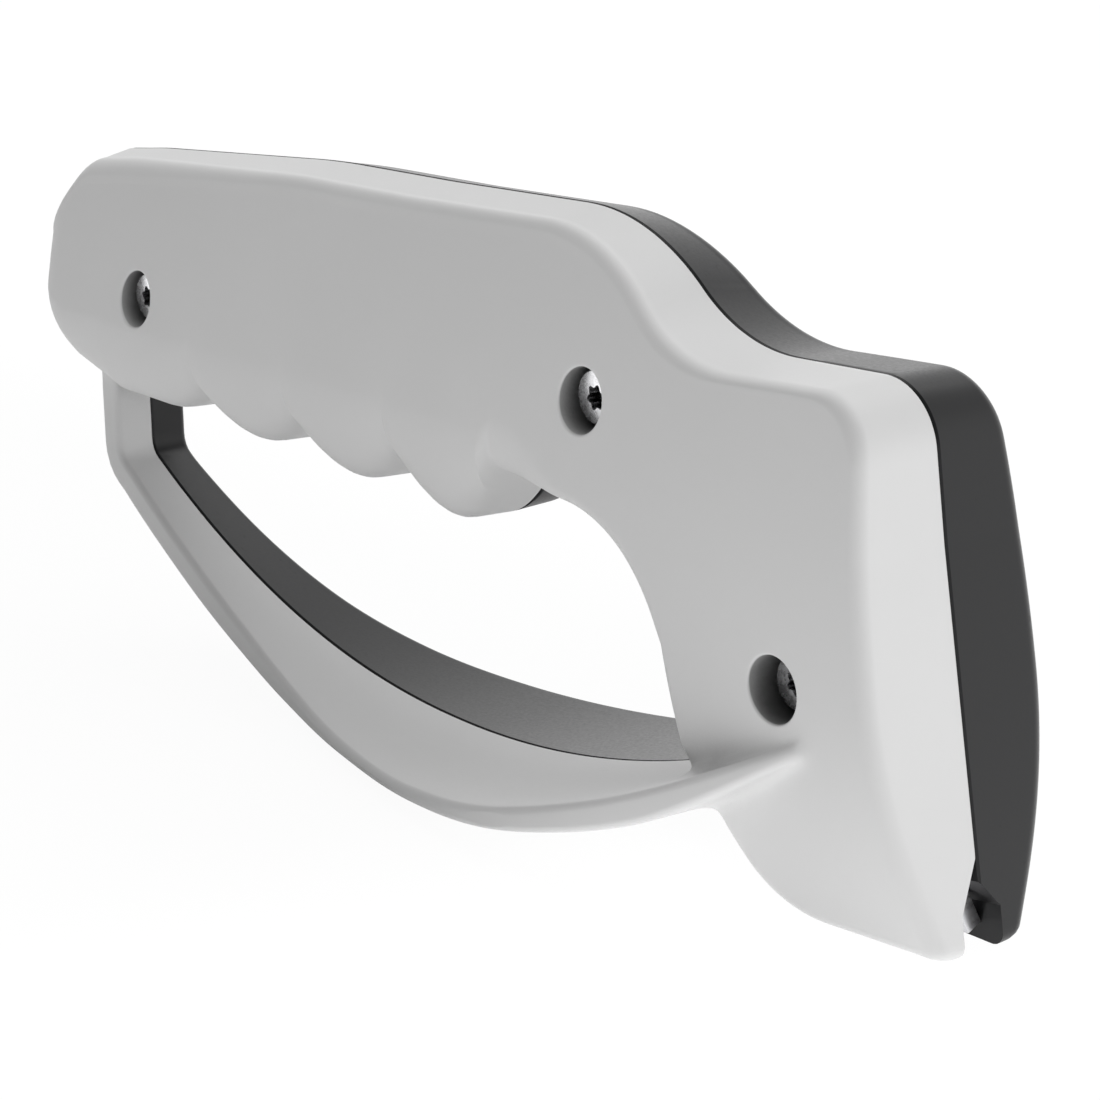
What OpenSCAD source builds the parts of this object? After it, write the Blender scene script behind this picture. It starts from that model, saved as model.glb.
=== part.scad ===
/* [Body] */
// Length of the sharpener from the rear of the handle to the foot of the head
body_l = 146.5; // [125:1:170]
// Height from the foot of the head to the top of the handle
body_h = 58.5; // [52:1:70]
// Half the thickness at the widest, from the parting face to one side
half_t = 10.5; // [9:0.2:13]
// Half the thickness at the top of the handle
top_w = 5.4; // [4:0.1:8]
// Height at which the body is widest
belly_h = 22.4; // [20:0.5:28]
// Wall of the moulded casings
wall = 2.4; // [1.8:0.1:3]
// Mould draft of the rim faces, in degrees
draft = 2.7; // [0:0.5:5]
// Steeper draft along the top of the handle, in degrees
top_draft = 12; // [3:0.5:14]
// Rounding where the rim of the casing turns into its side
rim_r = 1.6; // [0.8:0.1:2.5]
// Softer rounding along the finger grip
grip_r = 3.1; // [2:0.5:5]
// How far forward the rounded rear end of the handle reaches
tail_l = 9; // [8:1:20]

/* [Finger grip] */
// Distance from one finger groove to the next
groove_pitch = 17.9; // [16:0.5:19]
// Depth of the rear finger groove
groove_depth = 2.2; // [1:0.1:3]
// How much deeper the front finger groove is
groove_growth = 0.5; // [0:0.1:1]

/* [Knuckle guard] */
// Thickness of the guard band at its lowest point
guard_t = 2.1; // [2:0.1:3]
// Thickness of the guard band at its two ends
guard_end_t = 3.6; // [3:0.1:4]
// Half the width of the guard at the handle's rear end
guard_rear_w = 4.6; // [3:0.2:7]
// Half the width of the guard where it meets the head
guard_front_w = 17.6; // [13:0.2:20]
// Rounding of the guard's long edges
guard_edge_r = 0.8; // [0.5:0.1:0.9]
// Mould draft of the guard's faces, in degrees
guard_draft = 1.3; // [0:0.5:2]

/* [Foot of the head] */
// Half the thickness of the head at its foot
foot_w = 6.4; // [4:0.1:7]
// Larger rounding at the front of the foot
foot_r = 2.8; // [1:0.2:4]

/* [Knife slot and inserts] */
// Half the width of the slot at its mouth
slot_w = 2.3; // [1.8:0.1:3]
// Height of the slot's straight walls
slot_wall_h = 3.9; // [3:0.1:5]
// Height of the slot's peak
slot_h = 7.8; // [6.5:0.1:9]
// Slope of the slot down to the rear, in degrees
slot_slope = 8.5; // [4:0.5:10]
// Length of a carbide insert
insert_l = 14; // [12:0.5:16]
// Width of a carbide insert across the slot
insert_w = 1.8; // [1.5:0.1:2.5]
// Thickness of a carbide insert
insert_t = 1.6; // [1.2:0.1:2]
// Lean of each insert from upright, in degrees
insert_lean = 22; // [16:1:25]
// Height at which the inner edges of the inserts cross
insert_cross_h = 2.9; // [2:0.1:4]
// Height of the inserts' lower ends above the foot
insert_foot_h = 0.4; // [0.2:0.1:1]
// Distance from the front face of the head to the first insert
insert_setback = 2.6; // [2:0.1:4]
// Web of plastic between the two inserts
insert_web = 0.8; // [0.6:0.1:1.5]
// Clearance between an insert and its pocket
insert_fit = 0.05; // [0.05:0.05:0.15]

/* [Screws] */
// Diameter of a screw head
screw_head_d = 5.3; // [4.8:0.1:5.5]
// Height of a screw head
screw_head_h = 2; // [1.5:0.1:2.5]
// Diameter of a screw's shank
screw_d = 2.9; // [2.5:0.1:3.5]
// Length of a screw under its head
screw_l = 12; // [10:0.5:13]
// Diameter of the counterbores
bore_d = 5.8; // [5.7:0.1:6.5]
// Depth of the two handle screws below the side
handle_sink = 2.1; // [1:0.1:2.5]
// Depth of the head screw below the side
head_sink = 3.1; // [1:0.1:3.5]
// Clearance round a shank
screw_fit = 0.2; // [0.1:0.05:0.3]
// Wall of the screw bosses
boss_wall = 2; // [1.5:0.1:2.5]
// Width across the six-lobe recess
recess_d = 2.5; // [2:0.1:3]
// Depth of the recess
recess_l = 1.2; // [0.8:0.1:1.4]

/* [Locating pins] */
// Diameter of the pins that line the casings up
pin_d = 3; // [2.5:0.1:4]
// Reach of the pins past the parting face
pin_l = 3; // [2:0.5:4]
// Clearance round and ahead of the pins
pin_fit = 0.15; // [0.1:0.05:0.3]

/* [Hidden] */
cut = 0.5;
hole_fn = 48;

// Corners as shares of length and height, with a rounding as a share of height.
// The rear end, the top of the handle, the step down to the head, and the front face.
tail_top_shares = [[0, 0.7, 0], [0, 0.7747, 0.159], [0.0674, 0.9326, 0]];
back_shares = [[0.0674, 0.9326, 0], [0.124, 0.9517, 1.4], [0.36, 0.9906, 2.5], [0.5, 0.9927, 2],
    [0.64, 1, 0]];
step_shares = [[0.64, 1, 0], [0.705, 0.999, 0.409], [0.7873, 0.8217, 0.322], [0.9488, 0.8339, 0.104],
    [0.961, 0.6, 0]];
front_shares = [[0.961, 0.6, 0], [0.9995, 0, 0]];
// The underside of the rear end, the throat in front of the fingers, and the back of the head.
tail_low_shares = [[0, 0.7, 0], [0.0066, 0.625, 0.091], [0.0636, 0.5707, 0.22], [0.1008, 0.5258, 0]];
throat_shares = [[0.6368, 0.532, 0], [0.6491, 0.5493, 0.06], [0.7453, 0.5514, 0.272],
    [0.7833, 0.38, 0]];
heel_shares = [[0.7833, 0.38, 0], [0.7995, 0.2173, 0.1], [0.8679, 0, 0.213], [0.966, 0, 0]];
tail_steps = 13;
grip_steps = 9;
lead_steps = 3;
step_steps = 30;
head_steps = 20;
foot_steps = 6;

// The guard: x of its rear post, its lowest point and its front end, and the heights it climbs to.
guard_post_share = 0.0843;
guard_dip_share = 0.5033;
guard_end_share = 0.918;
guard_rear_rise_share = 0.306;
guard_front_rise_share = 0.289;
guard_top_share = 0.565;
guard_steps = 34;
// Positions along the body, and half widths as shares between the rear and the front width.
guard_width_shares = [[0.1, 0], [0.18, 0.0727], [0.27, 0.1945], [0.36, 0.3905], [0.46, 0.6577],
    [0.58, 0.9299], [0.68, 1.048], [0.74, 0.987], [0.8, 0.928], [0.918, 0.45]];

// Screws, locating pins and ribs, placed as shares of length and height.
rear_screw_share = [0.178, 0.695];
middle_screw_share = [0.703, 0.726];
head_screw_share = [0.888, 0.379];
pin_shares = [[0.46, 0.75], [0.915, 0.66]];
rib_top_share = 0.93;
rib_t = 1.6;
rib_back = 0.5;
rib_deep = 1.2;
rim_chamfer = 0.4;
thread_pitch = 1.1;
thread_depth = 0.35;
thread_fit = 0.05;
lobe_share = 0.13;
slot_run = 34;
hollow_from = 5;

function unit(v) = v / norm(v);
function at_size(shares) = [for (s = shares) [s[0] * body_l, s[1] * body_h, s[2] * body_h]];
function flat(p) = [p[0], p[1]];

// Points of the rounding at corner b between a and c.
function turn(a, b, c, r, n = 6) =
    let (u = unit(flat(a) - flat(b)), v = unit(flat(c) - flat(b)), half = acos(u * v) / 2,
        reach = r / tan(half), mid = flat(b) + unit(u + v) * r / sin(half),
        p = flat(b) + u * reach - mid, q = flat(b) + v * reach - mid, swing = 180 - 2 * half)
    [for (i = [0:n]) mid + (p * sin((1 - i / n) * swing) + q * sin(i / n * swing)) / sin(swing)];
function rounded(c) = [for (i = [0:len(c) - 1]) each (i == 0 || i == len(c) - 1 ? [flat(c[i])]
    : turn(c[i - 1], c[i], c[i + 1], c[i][2]))];
function run(p) = [for (i = 0, s = 0; i < len(p); i = i + 1,
    s = s + norm(p[min(i, len(p) - 1)] - p[i - 1])) s];
function spaced(p, n) = let (s = run(p), total = s[len(s) - 1])
    [for (i = [0:n]) [for (k = [0, 1]) lookup(i / n * total, [for (j = [0:len(p) - 1]) [s[j], p[j][k]]])]];
function rest(p) = [for (i = [1:len(p) - 1]) p[i]];
function path(shares, n) = spaced(rounded(at_size(shares)), n);
function ease(k) = let (c = max(0, min(1, k))) c * c * (3 - 2 * c);

// The finger grooves: rounded ridges that meet in sharp grooves.
ridge_power = 0.8;
grip_from = tail_low_shares[3][0] * body_l;
grip_to = throat_shares[0][0] * body_l;
grip_z = throat_shares[0][1] * body_h;
groove_from = grip_to - 4 * groove_pitch;
function ridge(x) = x < groove_from + groove_pitch / 2 ? 1
    : abs(sin(180 * (x - groove_from) / groove_pitch));
function lead(x) = ease((x - grip_from) / (groove_from - grip_from));
function groove_at(x) = groove_depth + groove_growth * ease((x - groove_from) / (grip_to - groove_from));
function grip_low(x) = grip_z - groove_at(x) * pow(ridge(x), ridge_power);
function grip_point(x) = [x, tail_low_shares[3][1] * body_h * (1 - lead(x)) + grip_low(x) * lead(x)];
grip_line = [for (i = [0:lead_steps]) grip_point(grip_from + i / lead_steps * (groove_from - grip_from)),
    for (i = [1:4 * grip_steps]) grip_point(groove_from + i / grip_steps * groove_pitch)];
grip_count = len(grip_line) - 1;

tops = concat(path(tail_top_shares, tail_steps), rest(path(back_shares, grip_count)),
    rest(path(step_shares, step_steps)), rest(path(front_shares, head_steps)));
lows = concat(path(tail_low_shares, tail_steps), rest(grip_line),
    rest(path(throat_shares, step_steps)), rest(path(heel_shares, head_steps)));
last = len(tops) - 1;
hollow_to = last - 9;

// Half thickness at a point of the side view: an oval tail, and sides that swell to the belly.
function tail_width(x) = x > tail_l ? 1 : sqrt(1 - pow(1 - max(x, 0) / tail_l, 2));
function swell(z) = half_t - (z > belly_h ? (half_t - top_w) * pow((z - belly_h) / (body_h - belly_h), 2)
    : (half_t - foot_w) * pow(1 - z / belly_h, 2));
function half_at(p) = swell(p[1]) * tail_width(p[0]);
function low_r(i) = grip_r + (rim_r - grip_r) * ease((i - tail_steps - grip_count) / step_steps)
    + (foot_r - rim_r) * ease((i - last + foot_steps) / foot_steps);

// The rim's draft along the top, which eases off down the step to the head.
function top_slope(i) = top_draft + (draft - top_draft) * ease((i - tail_steps - grip_count) / step_steps);

// One rounded edge of a section, turning from the rim face at p into a side that leans by lean.
function corner(p, u, w, r, lean, slope, steps) = [for (k = [0:steps]) let (t = (90 - lean) * k / steps,
    q = p - u * ((w - r) * tan(slope) + r * (1 - cos(t)))) [q[0], r - w - r * sin(t), q[1]]];
function back(list) = [for (i = [len(list) - 1:-1:0]) list[i]];

// Half a section from rim point a to rim point b: over one edge, down the side and over the other.
function half_section(a, b, wa, wb, ra, rb, la, lb, side, sa, sb, steps) = let (u = unit(a - b))
    concat([[a[0], 0, a[1]]], corner(a, u, wa, ra, la, sa, steps), side,
    back(corner(b, -u, wb, rb, lb, sb, steps)), [[b[0], 0, b[1]]]);

// A section of the body, a wall's thickness inside its outer skin or on it.
function lean_at(p, u) = atan(half_at(p - u) - half_at(p));
function body_section(i, inset, steps, sides) = let (u = unit(tops[i] - lows[i]), a = tops[i] - u * inset,
        b = lows[i] + u * inset, gap = norm(a - b), la = max(0, lean_at(a - u, u)),
        lb = max(0, lean_at(b + u, -u)), wide_a = half_at(a - u * rim_r / 2) - inset,
        wide_b = half_at(b + u * low_r(i) / 2) - inset, ra = min(rim_r, wide_a / 2, gap / 4),
        rb = min(low_r(i), wide_b * 0.8, gap / 4), deep_a = ra * (1 - sin(la)) + wide_a * tan(top_slope(i)),
        deep_b = rb * (1 - sin(lb)) + wide_b * tan(draft))
    half_section(a, b, wide_a + ra * (1 - cos(la)), wide_b + rb * (1 - cos(lb)), ra, rb, la, lb,
        [for (k = [1:1:sides]) let (f = deep_a + (gap - deep_a - deep_b) * k / (sides + 1), q = a - u * f)
        [q[0], inset - half_at(q), q[1]]], top_slope(i), draft, steps);
function outer_section(i) = body_section(i, 0, 3, 2);
function inner_section(i) = body_section(i, wall, 1, 1);

// Two triangles between neighbouring points j and j + 1 of sections i and i + 1, m points a section.
function strip(i, j, m, from) = let (p = from + i * m + j)
    [[p, p + m, p + 1], [p + 1, p + m, p + m + 1]];

// A closed skin over sections of equal count, from the first to the last.
module skin(sections) {
    m = len(sections[0]);
    n = len(sections) - 1;
    sides = [for (i = [0:n - 1], j = [0:m - 2]) each strip(i, j, m, 0)];
    caps = [[for (j = [0:m - 1]) j], [for (j = [m - 1:-1:0]) n * m + j]];
    parting = [for (i = [0:n - 1]) [(i + 1) * m, i * m, i * m + m - 1, (i + 1) * m + m - 1]];
    polyhedron([for (s = sections) each s], concat(sides, caps, parting));
}

// The moulded half: outer skin and hollow joined round the parting face.
module half_shell() {
    outer = [for (i = [1:last]) outer_section(i)];
    inner = [for (i = [hollow_from:hollow_to]) inner_section(i)];
    m = len(outer[0]);
    n = len(outer) - 1;
    k = len(inner[0]);
    c = len(inner) - 1;
    at = (n + 1) * m;
    ia = hollow_from - 1;
    ib = hollow_to - 1;
    skin_faces = [for (i = [0:n - 1], j = [0:m - 2]) each strip(i, j, m, 0)];
    hollow_faces = [for (i = [0:c - 1], j = [0:k - 2]) each [for (f = strip(i, j, k, at)) back(f)]];
    caps = [[for (j = [0:m - 1]) j], [for (j = [m - 1:-1:0]) n * m + j],
        [for (j = [k - 1:-1:0]) at + j], [for (j = [0:k - 1]) at + c * k + j]];
    upper_rim = [for (i = [0:c - 1]) let (p = (i + ia) * m, q = at + i * k) [p + m, p, q, q + k]];
    lower_rim = [for (i = [0:c - 1]) let (p = (i + ia) * m + m - 1, q = at + i * k + k - 1)
        [p, p + m, q + k, q]];
    solid_rim = [for (i = [0:n - 1]) if (i < ia - 1 || i > ib)
        [(i + 1) * m, i * m, i * m + m - 1, (i + 1) * m + m - 1]];
    rear_rim = [(ia - 1) * m, ia * m - 1, ia * m + m - 1, at + k - 1, at, ia * m];
    front_rim = [(ib + 1) * m + m - 1, (ib + 1) * m, ib * m, at + c * k, at + c * k + k - 1, ib * m + m - 1];
    polyhedron([for (s = concat(outer, inner)) each s],
        concat(skin_faces, hollow_faces, caps, upper_rim, lower_rim, solid_rim, [rear_rim, front_rim]));
}

// The guard's inner face: down the rear post, round a bend, then a long sweep up into the head.
function sweep_z(x) = let (d = x / body_l - guard_dip_share) guard_t + body_h * (d < 0
    ? guard_rear_rise_share * pow(-d / (guard_dip_share - guard_post_share), 2.13)
    : guard_front_rise_share * pow(d / (guard_end_share - guard_dip_share), 2));
guard_from = guard_post_share * body_l;
guard_to = guard_end_share * body_l;
sweep_line = [for (i = [0:guard_steps]) let (x = guard_from + i / guard_steps * (guard_to - guard_from))
    [x, sweep_z(x)]];
guard_in = concat([[guard_from, guard_top_share * body_h]],
    turn([guard_from, guard_top_share * body_h], sweep_line[0], sweep_line[1], guard_t / 2, 3),
    [for (i = [1:guard_steps]) sweep_line[i]]);
guard_last = len(guard_in) - 1;
function across(p, i) = let (t = unit(p[min(i + 1, len(p) - 1)] - p[max(i - 1, 0)])) [-t[1], t[0]];
function guard_t_at(x) = guard_t + (guard_end_t - guard_t) * ease(abs(x / body_l - guard_dip_share) / 0.3);
function guard_w_at(x) = guard_rear_w + (guard_front_w - guard_rear_w)
    * lookup(x / body_l, guard_width_shares);
function guard_section(i) = let (a = guard_in[i], b = a - across(guard_in, i) * guard_t_at(a[0]),
        w = guard_w_at(a[0]))
    half_section(a, b, w, w, guard_edge_r, guard_edge_r, 0, 0, [], guard_draft, guard_draft, 2);
module guard_half() {
    skin([for (i = [0:guard_last]) guard_section(i)]);
}

// Places children with their z axis running across the casings, from the light side to the dark.
module across_at(share, y) {
    translate([share[0] * body_l, y, share[1] * body_h]) rotate([-90, 0, 0]) children();
}

// Places children at the foot of the front face, x along the knife line and z up the face.
nose_x = front_shares[1][0] * body_l + front_shares[1][1] * body_h * tan(slot_slope);
module at_nose() {
    translate([nose_x, 0, 0]) rotate([0, -slot_slope, 0]) children();
}

module insert_blank(fit) {
    foot = (insert_cross_h - insert_foot_h) / cos(insert_lean);
    translate([-insert_setback - insert_t - fit, 0, insert_cross_h]) rotate([insert_lean, 0, 0])
        translate([0, -fit, -foot - fit])
            cube([insert_t + 2 * fit, insert_w + 2 * fit, insert_l + 2 * fit]);
}
module front_blank(fit) {
    at_nose() insert_blank(fit);
}
module rear_blank(fit) {
    at_nose() translate([-insert_t - insert_web, 0, 0]) mirror([0, 1, 0]) insert_blank(fit);
}
module knife_slot() {
    at_nose() translate([cut, 0, 0]) rotate([90, 0, -90]) linear_extrude(slot_run)
        polygon([[-slot_w, -slot_h], [-slot_w, slot_wall_h], [0, slot_h], [slot_w, slot_wall_h],
            [slot_w, -slot_h]]);
}
module nose_cuts() {
    knife_slot();
    front_blank(insert_fit);
    rear_blank(insert_fit);
}

module ribs() {
    low = grip_z + wall / 2;
    deep = top_w + rib_deep - wall;
    for (k = [1, 3]) translate([groove_from + k * groove_pitch - rib_t / 2, -rib_back - deep, low])
        cube([rib_t, deep, rib_top_share * body_h - low]);
}

// Where the side lies at a place given as shares.
function side_at(share) = -half_at([share[0] * body_l, share[1] * body_h]);

// Screw seats: a counterbore with a softened mouth, then a clearance hole.
module screw_boss(share) {
    across_at(share, side_at(share) + wall / 2)
        cylinder(h = -side_at(share) - wall / 2, d = bore_d + 2 * boss_wall, $fn = hole_fn);
}
module screw_seat(share, sink) {
    across_at(share, side_at(share) - 2 * cut)
        cylinder(h = sink + screw_head_h + 2 * cut, d = bore_d, $fn = hole_fn);
    across_at(share, side_at(share) - cut)
        cylinder(h = rim_chamfer + cut, d1 = bore_d + 2 * (rim_chamfer + cut), d2 = bore_d, $fn = hole_fn);
    across_at(share, side_at(share)) cylinder(h = half_t + cut, d = screw_d + 2 * screw_fit, $fn = hole_fn);
}
module pilot_boss(share) {
    across_at(share, 0) cylinder(h = -side_at(share) - wall / 2, d = screw_d + 2 * boss_wall, $fn = hole_fn);
}
module pilot_bore(share, sink) {
    across_at(share, -cut) cylinder(h = side_at(share) + sink + screw_head_h + screw_l + 2 * cut,
        d = screw_d + 2 * thread_fit, $fn = hole_fn);
}
module pin_post(share) {
    across_at(share, side_at(share) + wall / 2)
        cylinder(h = -side_at(share) - wall / 2, d = pin_d + boss_wall, $fn = hole_fn);
    across_at(share, -wall) cylinder(h = wall + pin_l, d = pin_d, $fn = hole_fn);
}
module socket_boss(share) {
    across_at(share, 0) cylinder(h = -side_at(share) - wall / 2, d = pin_d + 2 * boss_wall, $fn = hole_fn);
}
module socket_bore(share) {
    across_at(share, -cut) cylinder(h = cut + pin_l + 2 * pin_fit, d = pin_d + 2 * pin_fit, $fn = hole_fn);
}

module light_casing() {
    color("gainsboro") difference() {
        union() {
            half_shell();
            guard_half();
            union() {
                for (s = [rear_screw_share, middle_screw_share, head_screw_share]) screw_boss(s);
                for (s = pin_shares) pin_post(s);
                ribs();
            }
        }
        union() {
            screw_seat(rear_screw_share, handle_sink);
            screw_seat(middle_screw_share, handle_sink);
            screw_seat(head_screw_share, head_sink);
        }
        nose_cuts();
    }
}

module dark_casing() {
    color("dimgray") difference() {
        union() {
            mirror([0, 1, 0]) half_shell();
            mirror([0, 1, 0]) guard_half();
            union() {
                for (s = [rear_screw_share, middle_screw_share, head_screw_share]) pilot_boss(s);
                for (s = pin_shares) socket_boss(s);
                mirror([0, 1, 0]) ribs();
            }
        }
        union() {
            pilot_bore(rear_screw_share, handle_sink);
            pilot_bore(middle_screw_share, handle_sink);
            pilot_bore(head_screw_share, head_sink);
            for (s = pin_shares) socket_bore(s);
        }
        nose_cuts();
    }
}

// A self-tapping screw: flat head with a six-lobe recess, and a shank with thread ridges.
function lobe(t) = recess_d / 2 * (1 - lobe_share + lobe_share * cos(6 * t));
module screw(share, sink) {
    turns = floor(screw_l / thread_pitch) - 1;
    core_r = screw_d / 2 - thread_depth;
    color("silver") across_at(share, sink + side_at(share)) difference() {
        union() {
            cylinder(h = screw_head_h, d = screw_head_d, $fn = hole_fn);
            rotate_extrude($fn = hole_fn) polygon(concat([[0, screw_head_h / 2], [core_r, screw_head_h / 2],
                [core_r, screw_head_h + thread_pitch]],
                [for (i = [1:turns - 1]) each [[screw_d / 2, screw_head_h + (i + 0.5) * thread_pitch],
                    [core_r, screw_head_h + (i + 1) * thread_pitch]]],
                [[core_r, screw_head_h + screw_l - core_r], [0, screw_head_h + screw_l]]));
        }
        translate([0, 0, -cut]) linear_extrude(recess_l + cut)
            polygon([for (t = [0:10:350]) [lobe(t) * cos(t), lobe(t) * sin(t)]]);
    }
}
module rear_screw() {
    screw(rear_screw_share, handle_sink);
}
module middle_screw() {
    screw(middle_screw_share, handle_sink);
}
module head_screw() {
    screw(head_screw_share, head_sink);
}
module front_insert() {
    color("slategray") front_blank(0);
}
module rear_insert() {
    color("slategray") rear_blank(0);
}

// The frame's origin lies under the middle of the length.
mid_x = (min(tops[1][0], lows[1][0]) + tops[last][0]) / 2;
translate([-mid_x, 0, 0]) {
    light_casing();
    dark_casing();
    rear_screw();
    middle_screw();
    head_screw();
    front_insert();
    rear_insert();
}
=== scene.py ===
"""Looks of a hand-held pull through knife sharpener: two moulded casings, screws and carbide inserts."""
import math

import bmesh
import bpy
import numpy as np
from mathutils import Matrix, Vector, kdtree


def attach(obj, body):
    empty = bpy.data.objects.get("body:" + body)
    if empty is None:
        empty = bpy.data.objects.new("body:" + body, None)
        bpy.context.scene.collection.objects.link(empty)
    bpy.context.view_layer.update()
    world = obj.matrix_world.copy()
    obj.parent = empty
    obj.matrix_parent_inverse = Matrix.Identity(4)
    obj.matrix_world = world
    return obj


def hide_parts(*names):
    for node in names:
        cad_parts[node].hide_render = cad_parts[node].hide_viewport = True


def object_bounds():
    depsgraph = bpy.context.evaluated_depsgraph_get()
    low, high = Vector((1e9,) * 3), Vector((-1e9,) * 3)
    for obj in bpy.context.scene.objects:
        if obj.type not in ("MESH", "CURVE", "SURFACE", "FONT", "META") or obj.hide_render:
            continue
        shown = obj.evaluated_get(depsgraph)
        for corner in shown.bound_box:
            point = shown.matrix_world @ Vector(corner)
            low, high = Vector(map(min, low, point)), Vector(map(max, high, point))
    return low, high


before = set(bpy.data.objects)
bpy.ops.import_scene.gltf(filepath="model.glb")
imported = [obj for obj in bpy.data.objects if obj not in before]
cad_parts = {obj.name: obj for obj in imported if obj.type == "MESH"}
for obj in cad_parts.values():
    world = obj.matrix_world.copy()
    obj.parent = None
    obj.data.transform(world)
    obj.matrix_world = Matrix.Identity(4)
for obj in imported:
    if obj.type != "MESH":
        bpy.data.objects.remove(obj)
cad_low, cad_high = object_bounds()

# Lengths below are in millimetres, and MM turns them to metres. Drafts, slopes and leans are in degrees.
MM = 0.001

# The body of the casing. Its length, height and thickness are those of the frame's own model.
BODY_L = 146.5
BODY_H = 58.5
HALF_T = 10.5
TOP_W = 5.4
BELLY_H = 22.4
WALL = 2.4
DRAFT = 2.7
TOP_DRAFT = 12
RIM_R = 1.6
SEAM_R = 0.22

# The rear end: a round plan, a larger rim and a narrower top than further forward.
TAIL_L = 7.6
TAIL_RIM_R = 2.9
TAIL_RIM_L = 62
REAR_NARROW = 1.9

# The grip: an oval rounding under the fingers, and ridges that meet in sharp grooves.
GRIP_R = 5.2
GRIP_RISE = 6.5
GROOVES_AT = [16.6, 34.9, 53.3, 71.3, 86.3]
GROOVE_LIFT = 0.9
GROOVE_DEPTH = 3.05
GROOVE_GROWTH = 1.7
RIDGE_POWER = 0.8
RIDGE_BLEND = 0.03
VALLEY_DEPTH = 0.45
VALLEY_RISE = 15
CREASE_FADE_FROM = 0.2
CREASE_FADE_TURN = 0.6
THROAT_TURN_SHARE = 0.45

# The foot, as half thicknesses at the heel and at the front.
HEEL_W = 6.8
FOOT_W = 4.8
FOOT_R = 1.1

# The guard, whose widths are those of one half.
GUARD_T = 2.1
GUARD_END_T = 3.6
GUARD_TIP_THIN = 1.5
GUARD_REAR_W = 4.6
GUARD_FRONT_W = 17.6
GUARD_EDGE_R = 0.8
GUARD_DRAFT = 1.3
GUARD_REAR_POWER = 2.13
GUARD_FRONT_POWER = 2
GUARD_THICKEN_SHARE = 0.3
JOINT_REACH = 2.6
JOINT_ROUNDS = 26
JOINT_PULL_SHARE = 0.6

# Corners of the side view as shares of length and height, with a rounding as a share of height.
TAIL_TOP_SHARES = [(0, 0.69, 0), (0, 0.7747, 0.2), (0.0664, 0.9365, 0.09), (0.1, 0.945, 0)]
BACK_SHARES = [(0.1, 0.945, 0), (0.124, 0.9517, 1.4), (0.36, 0.9906, 2.5), (0.5, 0.9927, 2),
               (0.64, 1, 0)]
STEP_SHARES = [(0.64, 1, 0), (0.705, 0.999, 0.409), (0.7873, 0.8217, 0.322),
               (0.9488, 0.8339, 0.104), (0.961, 0.6, 0)]
FRONT_SHARES = [(0.961, 0.6, 0), (0.9995, 0, 0.022), (0.984, 0, 0)]
TAIL_LOW_SHARES = [(0, 0.69, 0), (0.001, 0.636, 0.147), (0.0178, 0.5675, 0.127), (0.0648, 0.518, 0.3),
                   (0.1008, 0.492, 0)]
THROAT_SHARES = [(0.589, 0.518, 0), (0.599, 0.552, 0.012), (0.66, 0.5563, 0.06),
                 (0.7453, 0.5514, 0.272), (0.7833, 0.38, 0)]
HEEL_SHARES = [(0.7833, 0.38, 0), (0.7995, 0.2173, 0.1), (0.867, 0, 0.195), (0.966, 0, 0)]
HEEL_SHARE = 0.86
GUARD_POST_SHARE = 0.0843
GUARD_DIP_SHARE = 0.5033
GUARD_END_SHARE = 0.918
GUARD_TIP_SHARE = 0.8
GUARD_REAR_RISE_SHARE = 0.306
GUARD_FRONT_RISE_SHARE = 0.289
GUARD_TOP_SHARE = 0.565
GUARD_WIDTH_SHARES = [(0.1, 0), (0.18, 0.0727), (0.27, 0.1945), (0.36, 0.3905), (0.46, 0.6577),
                      (0.58, 0.9299), (0.68, 1.048), (0.74, 0.987), (0.8, 0.928), (0.918, 0.45)]

# Stations along the casing, FINE of them for each one in the frame's own model, and points across it.
FINE = 4
TAIL_STEPS = 13 * FINE
GROOVE_STEPS = 9 * FINE
LEAD_STEPS = 3 * FINE
STEP_STEPS = 30 * FINE
HEAD_STEPS = 20 * FINE
RIDGES = len(GROOVES_AT) - 1
GRIP_STEPS = LEAD_STEPS + RIDGES * GROOVE_STEPS
GUARD_STEPS = 240
RIM_COLUMNS = 12
EDGE_STEPS = 11
SIDE_ROWS = 54
GUARD_COLUMNS = 26
TURN_STEPS = 20
SWEEP_POINTS = 400
BEND_POINTS = 12
BORE_STEPS = 96
MOUTH_STEPS = 8

# The most of the half thickness and of the height that an edge's rounding takes.
EDGE_WIDE_SHARE = 0.75
EDGE_TALL_SHARE = 0.4

# The inside of a half: where it starts and how far short of the foot it stops, in stations.
HOLLOW_FROM = 5 * FINE
HOLLOW_SHORT = 9 * FINE

# How far a cutter reaches past the face that it opens.
CUT_PAST = 1.0

# Screws: place as shares of length and height, and depth of the head's top below the side.
SCREWS = {"rear_screw": ((0.171, 0.695), 1.7), "middle_screw": ((0.703, 0.726), 1.9),
          "head_screw": ((0.892, 0.379), 2.9)}
SCREW_SPINS = (12, 47, 31)
BORE_D = 6.1
BORE_FLOOR_R = 0.15
MOUTH_R = 0.25
MOUTH_LIFT = 0.06
SCREW_HEAD_H = 2
SCREW_D = 2.9
SCREW_FIT = 0.2
THREAD_FIT = 0.05
THREAD_DEPTH = 0.35
SCREW_L = 12
PILOT_SPARE = 0.5
BOSS_WALL = 2
PINS = [(0.46, 0.75), (0.915, 0.66)]
PIN_D = 3
PIN_L = 3
PIN_FIT = 0.15
RIB_T = 1.6
RIB_BACK = 0.5
RIB_DEEP = 1.2
RIB_TOP_SHARE = 0.93

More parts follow.
